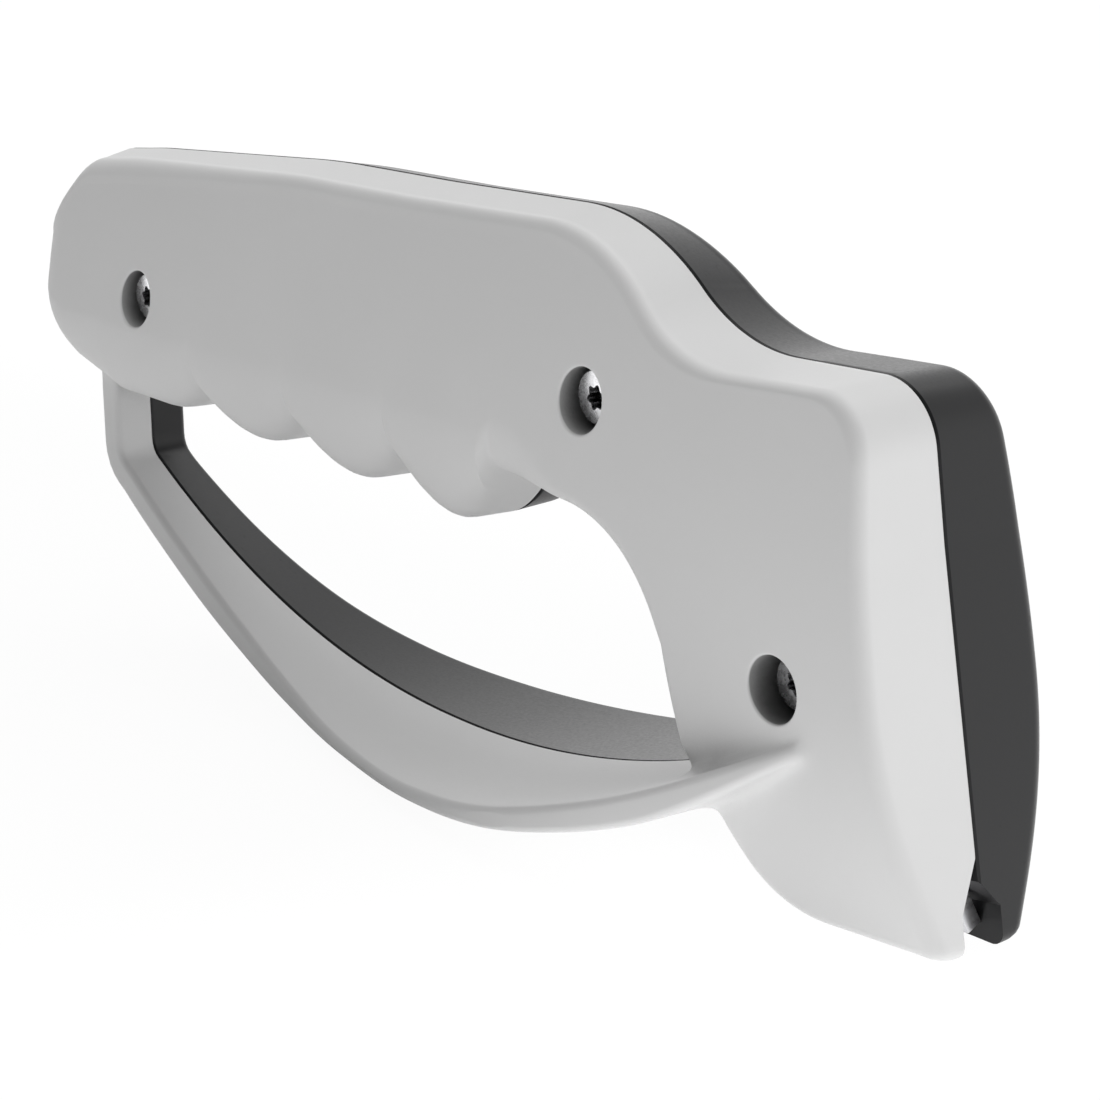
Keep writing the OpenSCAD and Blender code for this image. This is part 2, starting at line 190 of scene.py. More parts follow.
# The knife slot in the nose and the pockets of the crossed inserts.
SLOT_W = 2.3
SLOT_WALL_H = 3.9
SLOT_H = 7.8
SLOT_SHIFT = 1.3
SLOT_SLOPE = 8.5
SLOT_RUN = 34
INSERT_L = 14
INSERT_W = 1.8
INSERT_T = 1.6
INSERT_LEAN = 22
INSERT_CROSS_H = 2.9
INSERT_FOOT_H = 0.4
INSERT_SETBACK = 2.6
INSERT_WEB = 0.8
INSERT_FIT = 0.05
HONE_W = 0.12

# Angles in degrees past which an edge is drawn sharp.
MOULDED_ANGLE = 32
METAL_ANGLE = 40


def unit(v):
    return v / np.linalg.norm(v)


def turn(a, b, c, r):
    """Points of the rounding at corner b between a and c."""
    u, v = unit(a - b), unit(c - b)
    half = math.acos(float(u @ v)) / 2
    mid = b + unit(u + v) * r / math.sin(half)
    p, q = b + u * r / math.tan(half) - mid, b + v * r / math.tan(half) - mid
    swing = math.pi - 2 * half
    n = TURN_STEPS
    return [mid + (p * math.sin((1 - i / n) * swing) + q * math.sin(i / n * swing)) / math.sin(swing)
            for i in range(n + 1)]


def spaced(points, n):
    """n + 1 points at equal distances along a line of points."""
    points = np.array(points)
    run = np.concatenate([[0], np.cumsum(np.linalg.norm(np.diff(points, axis=0), axis=1))])
    at = np.linspace(0, run[-1], n + 1)
    return np.stack([np.interp(at, run, points[:, k]) for k in (0, 1)], axis=1)


def path(shares, n):
    """An outline through rounded corners that are given as shares of the body's length and height."""
    at = [np.array([x * BODY_L, z * BODY_H]) for x, z, _ in shares]
    line = [at[0]]
    for k in range(1, len(at) - 1):
        line += turn(at[k - 1], at[k], at[k + 1], shares[k][2] * BODY_H)
    return spaced(line + [at[-1]], n)


def ease(k):
    """Runs smoothly from 0 to 1 while k does."""
    c = np.clip(k, 0, 1)
    return c * c * (3 - 2 * c)


grip_from = TAIL_LOW_SHARES[-1][0] * BODY_L
grip_z = THROAT_SHARES[0][1] * BODY_H
groove_from, grip_to = GROOVES_AT[0], GROOVES_AT[-1]


def ridge(x):
    """1 at the foot of a ridge and 0 in the sharp groove between two of them."""
    next_groove = 2 * GROOVES_AT[-1] - GROOVES_AT[-2]
    phase = np.interp(x, GROOVES_AT + [next_groove], range(len(GROOVES_AT) + 1))
    outside = (phase < 0.5) | (phase > RIDGES + 0.5)
    return np.where(outside, 1.0, abs(np.sin(math.pi * phase)))


def ridge_depth(x):
    """The ridges grow towards the head."""
    return GROOVE_DEPTH + GROOVE_GROWTH * ease((x - groove_from) / (grip_to - groove_from))


def grip_low(x):
    lift = GROOVE_LIFT * (1 - ease((x - GROOVES_AT[-2]) / (grip_to - GROOVES_AT[-2])))
    return grip_z + lift - ridge_depth(x) * ridge(x) ** RIDGE_POWER


def grip_line():
    lead_x = np.linspace(grip_from, groove_from, LEAD_STEPS + 1)
    lead = ease((lead_x - grip_from) / (groove_from - grip_from))
    lead_z = TAIL_LOW_SHARES[-1][1] * BODY_H * (1 - lead) + grip_low(lead_x) * lead
    x = np.interp(np.arange(1, RIDGES * GROOVE_STEPS + 1) / GROOVE_STEPS, range(RIDGES + 1), GROOVES_AT)
    return np.concatenate([np.stack([lead_x, lead_z], 1), np.stack([x, grip_low(x)], 1)])


tops = np.concatenate([path(TAIL_TOP_SHARES, TAIL_STEPS), path(BACK_SHARES, GRIP_STEPS)[1:],
                       path(STEP_SHARES, STEP_STEPS)[1:], path(FRONT_SHARES, HEAD_STEPS)[1:]])
lows = np.concatenate([path(TAIL_LOW_SHARES, TAIL_STEPS), grip_line()[1:],
                       path(THROAT_SHARES, STEP_STEPS)[1:], path(HEEL_SHARES, HEAD_STEPS)[1:]])
LAST = len(tops) - 1
mid_x = FRONT_SHARES[1][0] * BODY_L + cad_low.x / MM


def tail_width(x):
    """Share of the half thickness near the rear end, which is round seen from above."""
    return np.sqrt(1 - (1 - np.clip(x, 0, TAIL_L) / TAIL_L) ** 2)


def swell(x, z):
    """Half thickness of the barrel-shaped sides, down to a foot that narrows from the heel to the front."""
    foot = HEEL_W + (FOOT_W - HEEL_W) * ease((x / BODY_L - HEEL_SHARE) / (1 - HEEL_SHARE))
    top = TOP_W - REAR_NARROW * (1 - ease(x / TAIL_RIM_L))
    over = (HALF_T - top) * ((z - BELLY_H) / (BODY_H - BELLY_H)) ** 2
    under = (HALF_T - foot) * (1 - z / BELLY_H) ** 2
    return HALF_T - np.where(z > BELLY_H, over, under)


def foot_round(z):
    """How much the rounding of the foot's long edges takes off the half thickness."""
    return FOOT_R * (1 - np.sqrt(1 - (1 - np.clip(z, 0, FOOT_R) / FOOT_R) ** 2))


def valley(x, z):
    """Shallow hollows that run up the side from the sharp grooves of the grip."""
    return VALLEY_DEPTH * (1 - ridge(x) ** 2) ** 2 * (1 - ease((z - grip_z) / VALLEY_RISE))


def half_at(q):
    """Half thickness of the body at places given by length and height."""
    q = np.asarray(q, float)
    x, z = q[..., 0], q[..., 1]
    return (swell(x, z) - foot_round(z) - valley(x, z)) * tail_width(x)


def step_ease(i):
    """0 along the grip, and 1 from the foot of the step on."""
    return float(ease((i - TAIL_STEPS - GRIP_STEPS) / STEP_STEPS))


def throat_ease(i):
    """0 along the grip, and 1 once the throat has turned down to the head."""
    return float(ease((i - TAIL_STEPS - GRIP_STEPS) / (THROAT_TURN_SHARE * STEP_STEPS)))


def low_r(i):
    return GRIP_R + (RIM_R - GRIP_R) * throat_ease(i)


def low_tall(i):
    """Height over width of the rounding along the low edge, which ends at one height along the grip."""
    tall = (GRIP_RISE + max(0.0, grip_z - lows[i][1])) / low_r(i)
    return tall + (1 - tall) * throat_ease(i)


def low_blend(i):
    """How far a groove is pulled down higher up the rounding, so that its crease fades."""
    x = lows[i][0]
    soft = ((ridge(x) ** 2 + RIDGE_BLEND) / (1 + RIDGE_BLEND)) ** (RIDGE_POWER / 2)
    return float(ridge_depth(x) * (ridge(x) ** RIDGE_POWER - soft)) * (1 - throat_ease(i))


def top_r(i):
    return TAIL_RIM_R + (RIM_R - TAIL_RIM_R) * float(ease(tops[i][0] / TAIL_RIM_L))


def top_slope(i):
    return math.radians(TOP_DRAFT + (DRAFT - TOP_DRAFT) * step_ease(i))


def corner(p, u, w, r, tall, lean, slope, blend):
    """The rim from the parting face at p, with a small seam rounding, then an edge as part of an oval."""
    rows = [(p[0] - u[0] * SEAM_R, 0.0, p[1] - u[1] * SEAM_R)]
    flat_from = SEAM_R if w - r > 2 * SEAM_R else 0.0
    for k in range(RIM_COLUMNS):
        f = flat_from + (w - r - flat_from) * k / RIM_COLUMNS
        q = p - u * f * math.tan(slope)
        rows.append((q[0], -f, q[1]))
    for k in range(EDGE_STEPS + 1):
        t = edge_turn(tall, lean) * k / EDGE_STEPS
        fade = float(ease((t - CREASE_FADE_FROM) / CREASE_FADE_TURN))
        rise = r * tall * (1 - math.cos(t)) + blend * math.cos(t) * fade
        q = p - u * ((w - r) * math.tan(slope) + rise)
        rows.append((q[0], r - w - r * math.sin(t), q[1]))
    return rows


def edge_turn(tall, lean):
    """The part of an oval's quarter after which it runs into a side that leans by lean."""
    return math.atan2(1, tall * math.tan(lean))


def section(i, inset):
    """Half a section of the body from its top edge over the side to its low edge."""
    u = unit(tops[i] - lows[i])
    a, b = tops[i] - u * inset, lows[i] + u * inset
    gap = np.linalg.norm(a - b)
    slope, draft = top_slope(i), math.radians(DRAFT)
    ends = []
    for p, v, r, tall, pitch, blend in ((a, u, top_r(i), 1.0, slope, 0.0),
                                        (b, -u, low_r(i), low_tall(i), draft, low_blend(i))):
        lean = max(0.0, math.atan(half_at(p - 2 * v) - half_at(p - v)))
        wide = half_at(p - v * r * tall / 2) - inset
        r = min(r, wide * EDGE_WIDE_SHARE)
        tall = min(tall, gap * EDGE_TALL_SHARE / r)
        t = edge_turn(tall, lean)
        deep = r * tall * (1 - math.cos(t)) + wide * math.tan(pitch)
        wide = half_at(p - v * deep) - inset
        ends.append((corner(p, v, wide + r * (1 - math.sin(t)), r, tall, lean, pitch, blend), deep))
    (over, deep_a), (under, deep_b) = ends
    f = deep_a + (gap - deep_a - deep_b) * np.arange(1, SIDE_ROWS + 1) / (SIDE_ROWS + 1)
    q = a - u * f[:, None]
    side = np.stack([q[:, 0], inset - half_at(q), q[:, 1]], 1)
    return np.concatenate([over, side, under[::-1]])


def loft(sections):
    """A closed mesh over sections of equal count; each section's ends lie on the parting face."""
    count = len(sections[0])
    points = np.concatenate(sections)
    faces = []
    for i in range(len(sections) - 1):
        for j in range(count):
            k = (j + 1) % count
            faces.append((i * count + j, (i + 1) * count + j, (i + 1) * count + k, i * count + k))
    faces.append(tuple(range(count)))
    faces.append(tuple((len(sections) - 1) * count + j for j in reversed(range(count))))
    return points, faces


def mesh_object(name, points, faces):
    """An object in the frame's own metres from points in the body's millimetres."""
    mesh = bpy.data.meshes.new(name)
    placed = (np.asarray(points, float) - np.array([mid_x, 0, 0])) * MM
    mesh.from_pydata(placed.tolist(), [], faces)
    obj = bpy.data.objects.new(name, mesh)
    bpy.context.scene.collection.objects.link(obj)
    outward(obj)
    return obj


def outward(obj):
    """Merges doubled points and turns every face outwards."""
    shape = bmesh.new()
    shape.from_mesh(obj.data)
    bmesh.ops.remove_doubles(shape, verts=shape.verts, dist=1e-7)
    bmesh.ops.recalc_face_normals(shape, faces=shape.faces)
    if shape.calc_volume(signed=True) < 0:
        bmesh.ops.reverse_faces(shape, faces=shape.faces)
    shape.to_mesh(obj.data)
    shape.free()


def combine(obj, others, operation):
    """Joins or cuts obj with each of the others, which are then removed."""
    for other in others:
        step = obj.modifiers.new("step", "BOOLEAN")
        step.operation = operation
        step.solver = "MANIFOLD"
        step.object = other
        graph = bpy.context.evaluated_depsgraph_get()
        result = bpy.data.meshes.new_from_object(obj.evaluated_get(graph))
        obj.modifiers.clear()
        obj.data = result
        bpy.data.objects.remove(other)
    return obj


def rod(name, share, y0, y1, d, steps=64):
    """A round bar across the casings, centred on a place given as shares."""
    turn_at = 2 * math.pi * np.arange(steps) / steps
    ring = np.stack([share[0] * BODY_L + d / 2 * np.cos(turn_at), np.zeros(steps),
                     share[1] * BODY_H + d / 2 * np.sin(turn_at)], 1)
    return mesh_object(name, *loft([ring + [0, y0, 0], ring + [0, y1, 0]]))


def side_y(share):
    """Place of the light casing's outer face across the body, at a place given as shares."""
    return -float(half_at((share[0] * BODY_L, share[1] * BODY_H)))


def bore_cutter(share, sink):
    """A counterbore whose softened mouth follows the curved side, and the clearance hole below."""
    x0, z0 = share[0] * BODY_L, share[1] * BODY_H
    turn_at = 2 * math.pi * np.arange(BORE_STEPS) / BORE_STEPS
    floor_y = side_y(share) + sink + SCREW_HEAD_H
    rings = []

    def ring(radius, depth=None, y=None):
        x, z = x0 + radius * np.cos(turn_at), z0 + radius * np.sin(turn_at)
        at = -half_at(np.stack([x, z], 1)) + depth if y is None else np.full(BORE_STEPS, y)
        rings.append(np.stack([x, at, z], 1))

    ring(BORE_D / 2 + 2 * MOUTH_R, depth=-2 * CUT_PAST)
    ring(BORE_D / 2 + 2 * MOUTH_R, depth=-MOUTH_LIFT)
    for k in range(MOUTH_STEPS + 1):
        t = math.pi / 2 * k / MOUTH_STEPS
        ring(BORE_D / 2 + MOUTH_R * (1 - math.sin(t)), depth=MOUTH_R * (1 - math.cos(t)))
    ring(BORE_D / 2, y=floor_y - BORE_FLOOR_R)
    ring(BORE_D / 2 - BORE_FLOOR_R, y=floor_y)
    ring(SCREW_D / 2 + SCREW_FIT, y=floor_y)
    ring(SCREW_D / 2 + SCREW_FIT, y=CUT_PAST)
    return mesh_object("bore_cutter", *loft(rings))


def sweep_z(x):
    """Height of the guard's inner face along its sweep."""
    d = x / BODY_L - GUARD_DIP_SHARE
    if d < 0:
        rise = GUARD_REAR_RISE_SHARE * (-d / (GUARD_DIP_SHARE - GUARD_POST_SHARE)) ** GUARD_REAR_POWER
    else:
        rise = GUARD_FRONT_RISE_SHARE * (d / (GUARD_END_SHARE - GUARD_DIP_SHARE)) ** GUARD_FRONT_POWER
    return GUARD_T + BODY_H * rise


def guard_inner_line():
    """The guard's inner face: down the rear post, round a bend, then a long sweep up into the head."""
    x = np.linspace(GUARD_POST_SHARE * BODY_L, GUARD_END_SHARE * BODY_L, SWEEP_POINTS)
    sweep = [np.array([v, sweep_z(v)]) for v in x]
    top = np.array([x[0], GUARD_TOP_SHARE * BODY_H])
    bend = turn(top, sweep[0], sweep[BEND_POINTS], GUARD_T)
    return spaced([top] + bend + sweep[BEND_POINTS + 1:], GUARD_STEPS)


def smooth_lookup(x, table):
    """A curve through a table's points without corners, and without rising past them."""
    xs, ys = np.array(table, float).T
    rate = np.diff(ys) / np.diff(xs)
    inner = np.where(rate[1:] * rate[:-1] > 0, 2 / (1 / np.where(rate[1:] == 0, 1, rate[1:])
                     + 1 / np.where(rate[:-1] == 0, 1, rate[:-1])), 0)
    tangent = np.concatenate([[rate[0]], inner, [rate[-1]]])
    x = min(max(x, xs[0]), xs[-1])
    k = min(int(np.searchsorted(xs, x, side="right")) - 1, len(rate) - 1)
    h = xs[k + 1] - xs[k]
    t = (x - xs[k]) / h
    return ((2 * t ** 3 - 3 * t ** 2 + 1) * ys[k] + (t ** 3 - 2 * t ** 2 + t) * h * tangent[k]
            + (3 * t ** 2 - 2 * t ** 3) * ys[k + 1] + (t ** 3 - t ** 2) * h * tangent[k + 1])


def guard_section(line, i):
    """Half a section of the guard, from its inner face round the flared edge to its outer face."""
    a = line[i]
    t = unit(line[min(i + 1, len(line) - 1)] - line[max(i - 1, 0)])
    across = np.array([-t[1], t[0]])
    share = a[0] / BODY_L
    off_dip = float(ease(abs(share - GUARD_DIP_SHARE) / GUARD_THICKEN_SHARE))
    at_tip = float(ease((share - GUARD_TIP_SHARE) / (GUARD_END_SHARE - GUARD_TIP_SHARE)))
    thick = GUARD_T + (GUARD_END_T - GUARD_T) * off_dip - GUARD_TIP_THIN * at_tip
    w = GUARD_REAR_W + (GUARD_FRONT_W - GUARD_REAR_W) * smooth_lookup(share, GUARD_WIDTH_SHARES)
    b = a - across * thick
    r, slope = GUARD_EDGE_R, math.radians(GUARD_DRAFT)

    def face(p, u):
        rows = [(p[0] - u[0] * SEAM_R, 0.0, p[1] - u[1] * SEAM_R)]
        for k in range(GUARD_COLUMNS):
            y = SEAM_R + (w - r - SEAM_R) * k / GUARD_COLUMNS
            q = p - u * y * math.tan(slope)
            rows.append((q[0], -y, q[1]))
        for k in range(EDGE_STEPS + 1):
            s = math.pi / 2 * k / EDGE_STEPS
            q = p - u * ((w - r) * math.tan(slope) + r * (1 - math.cos(s)))
            rows.append((q[0], r - w - r * math.sin(s), q[1]))
        return rows

    return np.array(face(a, across) + face(b, -across)[::-1])


def soften_joint(obj, originals):
    """Blends two joined shapes where they meet, as a mould's fillet does, and keeps the parting face flat.

    The points that the union made, which lie off both shapes' original points, mark the line where
    the shapes meet. The points near that line are drawn towards their neighbours' middle in rounds.
    """
    reach = JOINT_REACH * MM
    tree = kdtree.KDTree(len(originals))
    for k, p in enumerate(originals):
        tree.insert(p, k)
    tree.balance()
    shape = bmesh.new()
    shape.from_mesh(obj.data)
    seam = [v for v in shape.verts if tree.find(v.co)[2] > 2e-6]
    near = kdtree.KDTree(len(seam))
    for k, v in enumerate(seam):
        near.insert(v.co, k)
    near.balance()
    moving = {}
    for v in shape.verts:
        distance = near.find(v.co)[2]
        if distance < reach:
            moving[v] = 1 - (distance / reach) ** 2
    for _ in range(JOINT_ROUNDS):
        target = {}
        for v, weight in moving.items():
            around = [e.other_vert(v).co for e in v.link_edges]
            middle = sum(around, Vector()) / len(around)
            target[v] = v.co.lerp(middle, JOINT_PULL_SHARE * weight)
        for v, co in target.items():
            on_seam = abs(v.co.y) < 1e-7
            v.co = Vector((co.x, 0.0, co.z)) if on_seam else co
    shape.to_mesh(obj.data)
    shape.free()


def casing_blank():
    """Outer form of one half: the body and the flared guard, blended where they meet."""
    body = mesh_object("body", *loft([section(i, 0) for i in range(1, LAST + 1)]))
    line = guard_inner_line()
    guard = mesh_object("guard", *loft([guard_section(line, i) for i in range(len(line))]))
    originals = [v.co.copy() for part in (body, guard) for v in part.data.vertices]
    combine(body, [guard], "UNION")
    soften_joint(body, originals)
    for v in body.data.vertices:
        v.co = (min(max(v.co.x, cad_low.x), cad_high.x), max(v.co.y, cad_low.y), min(v.co.z, cad_high.z))
    return body


def hollow():
    """The inside of one half, which reaches past the parting face so that it cuts clear."""
    rows = []
    for i in range(HOLLOW_FROM, LAST - HOLLOW_SHORT + 1, 2):
        inner = section(i, WALL)
        inner[0][1] = inner[-1][1] = CUT_PAST
        rows.append(np.concatenate([inner[:-1:3], inner[-1:]]))
    return mesh_object("hollow", *loft(rows))


def box_mesh(name, corner_low, corner_high):
    """A plain box between two corners."""
    (x0, y0, z0), (x1, y1, z1) = corner_low, corner_high
    ring = np.array([(x0, y0, 0), (x1, y0, 0), (x1, y1, 0), (x0, y1, 0)], float)
    return mesh_object(name, *loft([ring + [0, 0, z0], ring + [0, 0, z1]]))


def ribs():
    """Two ribs across the hollow grip, each above a groove."""
    deep = TOP_W + RIB_DEEP - WALL
    foot_z = grip_z + WALL / 2
    return [box_mesh("rib", (GROOVES_AT[k] - RIB_T / 2, -RIB_BACK - deep, foot_z),
                     (GROOVES_AT[k] + RIB_T / 2, -RIB_BACK, RIB_TOP_SHARE * BODY_H))
            for k in (1, 3)]


def at_nose(points):
    """Turns points so that x runs along the knife line at the foot of the front face."""
    slope = math.radians(SLOT_SLOPE)
    nose_x = FRONT_SHARES[1][0] * BODY_L + FRONT_SHARES[1][1] * BODY_H * math.tan(slope)
    points = np.asarray(points, float)
    x = points[:, 0] * math.cos(slope) - points[:, 2] * math.sin(slope) + nose_x
    z = points[:, 0] * math.sin(slope) + points[:, 2] * math.cos(slope)
    return np.stack([x, points[:, 1], z], 1)


def insert_points(fit, rear):
    """The eight corners of an insert or, with its fit, of its pocket."""
    lean = math.radians(INSERT_LEAN)
    drop = (INSERT_SETBACK + 2 * INSERT_T + INSERT_WEB) * math.sin(math.radians(SLOT_SLOPE))
    foot = (INSERT_CROSS_H - INSERT_FOOT_H - drop) / math.cos(lean)
    x0 = -INSERT_SETBACK - INSERT_T - fit - (INSERT_T + INSERT_WEB if rear else 0)
    thick, wide = INSERT_T + 2 * fit, INSERT_W + fit
    rows = []
    for z in (-foot - fit, INSERT_L - foot + fit):
        for x, y in ((0, -fit), (thick, -fit), (thick, wide), (0, wide)):
            turned = (y * math.cos(lean) - z * math.sin(lean), y * math.sin(lean) + z * math.cos(lean))
            rows.append((x0 + x, -turned[0] if rear else turned[0], INSERT_CROSS_H + turned[1]))
    return at_nose(rows)


def insert_shape(name, fit, rear):
    points = insert_points(fit, rear)
    return mesh_object(name, *loft([points[:4], points[4:]]))


def slot_cutter(peak):
    """The roofed slot that guides the blade, open at the foot and at the nose."""
    outline = [(-SLOT_W, -SLOT_H), (SLOT_W, -SLOT_H), (SLOT_W, SLOT_WALL_H), (0, peak),
               (-SLOT_W, SLOT_WALL_H)]
    rings = [at_nose([(x, y, z) for y, z in outline]) for x in (CUT_PAST / 2, CUT_PAST / 2 - SLOT_RUN)]
    return mesh_object("slot_cutter", *loft(rings))


def nose_cutters(peak):
    """The slot and the inserts' two pockets."""
    pockets = [insert_shape("pocket", INSERT_FIT, rear) for rear in (False, True)]
    return [slot_cutter(peak)] + pockets


def finish_mesh(obj, angle):
    """Smooth shading, but for edges sharper than an angle in degrees."""
    outward(obj)
    obj.data.shade_smooth()
    obj.data.set_sharp_from_angle(angle=math.radians(angle))


def light_casing(blank):
    """The half with the counterbores and the pins."""
    casing = combine(blank, [hollow()], "DIFFERENCE")
    bosses = [rod("boss", s, side_y(s) + WALL / 2, 0, BORE_D + 2 * BOSS_WALL) for s, _ in SCREWS.values()]
    posts = [rod("post", s, side_y(s) + WALL / 2, 0, PIN_D + BOSS_WALL) for s in PINS]
    pins = [rod("pin", s, -WALL, PIN_L, PIN_D) for s in PINS]
    combine(casing, bosses + posts + pins + ribs(), "UNION")
    bores = [bore_cutter(s, sink) for s, sink in SCREWS.values()]
    combine(casing, bores + nose_cutters(SLOT_H + SLOT_SHIFT), "DIFFERENCE")
    casing.name = "light_casing_moulding"
    finish_mesh(casing, MOULDED_ANGLE)
    return casing


def mirrored(obj):
    """Turns a half into the one on the other side of the parting face."""
    obj.data.transform(Matrix.Diagonal((1, -1, 1, 1)))
    outward(obj)
    return obj


def dark_casing(blank):
    """The half with the pilot holes and the sockets."""
    casing = combine(blank, [hollow()], "DIFFERENCE")
    bosses = [rod("boss", s, side_y(s) + WALL / 2, 0, SCREW_D + 2 * BOSS_WALL) for s, _ in SCREWS.values()]
    sockets = [rod("socket", s, side_y(s) + WALL / 2, 0, PIN_D + 2 * BOSS_WALL) for s in PINS]
    combine(casing, bosses + sockets + ribs(), "UNION")
    mirrored(casing)
    bores = []
    for share, sink in SCREWS.values():
        tip = side_y(share) + sink + SCREW_HEAD_H + SCREW_L + PILOT_SPARE
        bores.append(rod("pilot", share, -CUT_PAST, tip, SCREW_D + 2 * THREAD_FIT))
    holes = [rod("hole", s, -CUT_PAST, PIN_L + 2 * PIN_FIT, PIN_D + 2 * PIN_FIT) for s in PINS]
    combine(casing, bores + holes + nose_cutters(SLOT_H - SLOT_SHIFT), "DIFFERENCE")
    casing.name = "dark_casing_moulding"
    finish_mesh(casing, MOULDED_ANGLE)
    return casing


def node(tree, kind, links=(), **settings):
    """Adds a node with its settings and inputs.

    An input is given a plain value, an output of another node, or a node, whose first output it takes.
    """
    made = tree.nodes.new(kind)
    for key, value in settings.items():
        setattr(made, key, value)
    for key, value in links:
        source = value.outputs[0] if isinstance(value, bpy.types.Node) else value
        if isinstance(source, bpy.types.NodeSocket):
            tree.links.new(source, made.inputs[key])
        else:
            made.inputs[key].default_value = source
    return made


def screw_tree():
    """Geometry of a self-tapping screw along +Z: head with a six-lobe recess, shank, point and thread."""
    tree = bpy.data.node_groups.new("self_tapping_screw", "GeometryNodeTree")
    sizes = [("Head Diameter", 5.3 * MM), ("Head Height", SCREW_HEAD_H * MM),
             ("Shank Diameter", (SCREW_D - 2 * THREAD_DEPTH) * MM), ("Shank Length", SCREW_L * MM),
             ("Recess Width", 2.5 * MM), ("Recess Depth", 1.2 * MM), ("Lobe Share", 0.13),
             ("Thread Pitch", 1.1 * MM), ("Thread Depth", THREAD_DEPTH * MM)]
    for name, value in sizes:
        socket = tree.interface.new_socket(name=name, in_out="INPUT", socket_type="NodeSocketFloat")
        socket.default_value = value
    for name, kind in (("Place", "Vector"), ("Turn", "Vector"), ("Finish", "Material")):
        tree.interface.new_socket(name=name, in_out="INPUT", socket_type="NodeSocket" + kind)
    tree.interface.new_socket(name="Geometry", in_out="OUTPUT", socket_type="NodeSocketGeometry")
    given = node(tree, "NodeGroupInput").outputs

    # Head: a disc whose upper rim is rounded by a curve of radius against height.
    head_h, pitch = given["Head Height"], given["Thread Pitch"]
    head_r = node(tree, "ShaderNodeMath", [(0, given["Head Diameter"]), (1, 0.5)], operation="MULTIPLY")
    disc = node(tree, "GeometryNodeMeshCylinder", [("Vertices", 64), ("Side Segments", 16),
                                                   ("Radius", head_r), ("Depth", head_h)])
    half_head = node(tree, "ShaderNodeMath", [(0, head_h), (1, 0.5)], operation="MULTIPLY")
    head_mid = node(tree, "ShaderNodeCombineXYZ", [("Z", half_head)])
    disc = node(tree, "GeometryNodeTransform", [("Geometry", disc), ("Translation", head_mid)])
    place = node(tree, "GeometryNodeInputPosition")
    split = node(tree, "ShaderNodeSeparateXYZ", [(0, place)]).outputs
    height = node(tree, "ShaderNodeMath", [(0, split["Z"]), (1, head_h)], operation="DIVIDE")
    rim = node(tree, "ShaderNodeFloatCurve", [("Value", height)])
    curve = rim.mapping.curves[0]
    rim_shares = [(0, 0.93), (0.12, 0.985), (0.3, 1), (1, 1)]
    for k, (x, y) in enumerate(rim_shares):
        if k < 2:
            curve.points[k].location = (x, y)
        else:
            curve.points.new(x, y)
    rim.mapping.update()
    around = node(tree, "ShaderNodeVectorMath", [(0, place), ("Scale", rim)], operation="SCALE")
    around = node(tree, "ShaderNodeSeparateXYZ", [(0, around)]).outputs
    rounded = node(tree, "ShaderNodeCombineXYZ", [("X", around["X"]), ("Y", around["Y"]),
                                                  ("Z", split["Z"])])
    head = node(tree, "GeometryNodeSetPosition", [("Geometry", disc), ("Position", rounded)])

    # Recess: a circle pushed in and out by the cosine of six times its angle, filled and drawn down.
    recess_r = node(tree, "ShaderNodeMath", [(0, given["Recess Width"]), (1, 0.5)], operation="MULTIPLY")
    ring = node(tree, "GeometryNodeCurvePrimitiveCircle", [("Resolution", 120), ("Radius", recess_r)])
    place = node(tree, "GeometryNodeInputPosition")
    split = node(tree, "ShaderNodeSeparateXYZ", [(0, place)]).outputs
    angle = node(tree, "ShaderNodeMath", [(0, split["Y"]), (1, split["X"])], operation="ARCTAN2")
    six_times = node(tree, "ShaderNodeMath", [(0, angle), (1, 6.0)], operation="MULTIPLY")
    wave = node(tree, "ShaderNodeMath", [(0, six_times)], operation="COSINE")
    lobe = node(tree, "ShaderNodeMath", [(0, wave), (1, given["Lobe Share"])], operation="MULTIPLY")
    core = node(tree, "ShaderNodeMath", [(0, 1.0), (1, given["Lobe Share"])], operation="SUBTRACT")
    reach = node(tree, "ShaderNodeMath", [(0, core), (1, lobe)], operation="ADD")
    lobes = node(tree, "ShaderNodeVectorMath", [(0, place), ("Scale", reach)], operation="SCALE")
    star = node(tree, "GeometryNodeSetPosition", [("Geometry", ring), ("Position", lobes)])
    fill = node(tree, "GeometryNodeFillCurve", [("Curve", star)], mode="NGONS")
    sunk = node(tree, "ShaderNodeMath", [(0, given["Recess Depth"]), (1, -1.0)], operation="MULTIPLY")
    floor_at = node(tree, "ShaderNodeCombineXYZ", [("Z", sunk)])
    lowered = node(tree, "GeometryNodeTransform", [("Geometry", fill), ("Translation", floor_at)])
    draw = node(tree, "ShaderNodeMath", [(0, given["Recess Depth"]), (1, 2.0)], operation="MULTIPLY")
    drawn = node(tree, "GeometryNodeExtrudeMesh", [("Mesh", lowered), ("Offset", (0, 0, 1)),
                                                   ("Offset Scale", draw), ("Individual", False)],
                 mode="FACES")
    under = node(tree, "GeometryNodeFlipFaces", [("Mesh", lowered)])
    capped = node(tree, "GeometryNodeJoinGeometry", [(0, drawn), (0, under)])
    cutter = node(tree, "GeometryNodeMergeByDistance", [("Geometry", capped), ("Distance", 1e-6)])
    hollowed = node(tree, "GeometryNodeMeshBoolean", [("Mesh 1", head), ("Mesh 2", cutter)],
                    operation="DIFFERENCE", solver="EXACT")

